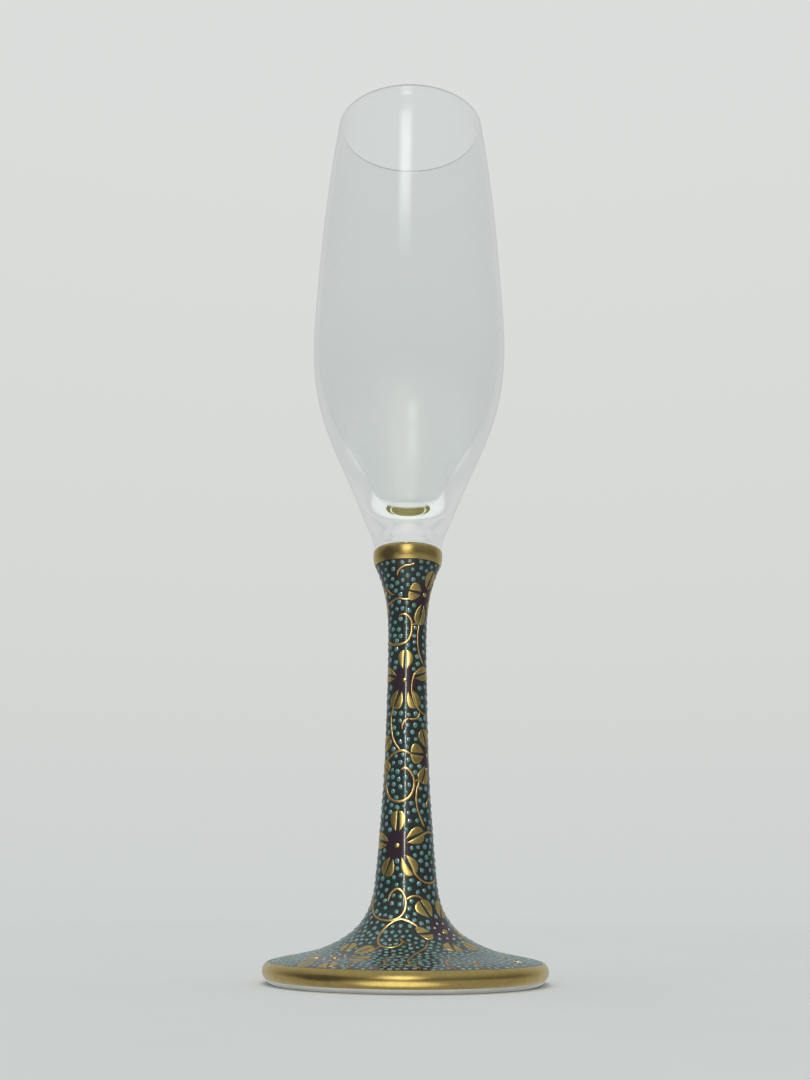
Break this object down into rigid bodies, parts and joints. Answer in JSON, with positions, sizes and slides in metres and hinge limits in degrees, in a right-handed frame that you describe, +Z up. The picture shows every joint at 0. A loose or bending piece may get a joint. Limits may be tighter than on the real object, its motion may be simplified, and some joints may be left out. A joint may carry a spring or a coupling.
{
  "type": "champagne flute",
  "caption": "Slender champagne flute: a clear tapering glass bowl bonded to a flared porcelain stem and foot, with gold bands round the collar and the foot's edge.",
  "frame": {"origin": "centre of the plane that the foot stands on", "axes": "+Z up along the axis of revolution to the mouth; +X and +Y are level, and -Y is the decorated front"},
  "size_m": [0.0624, 0.0624, 0.2175],
  "materials": {
    "glazed_porcelain": "glossy",
    "fired_gold": "satin",
    "raised_enamel": "glossy",
    "clear_adhesive": "glossy",
    "clear_glass": "polished"
  },
  "bodies": {
    "root": {"porcelain_stem": "glazed_porcelain", "gilt_foot_band": "fired_gold", "gilt_collar": "fired_gold", "seat_adhesive": "clear_adhesive", "glass_bowl": "clear_glass"}
  },
  "joints": []
}
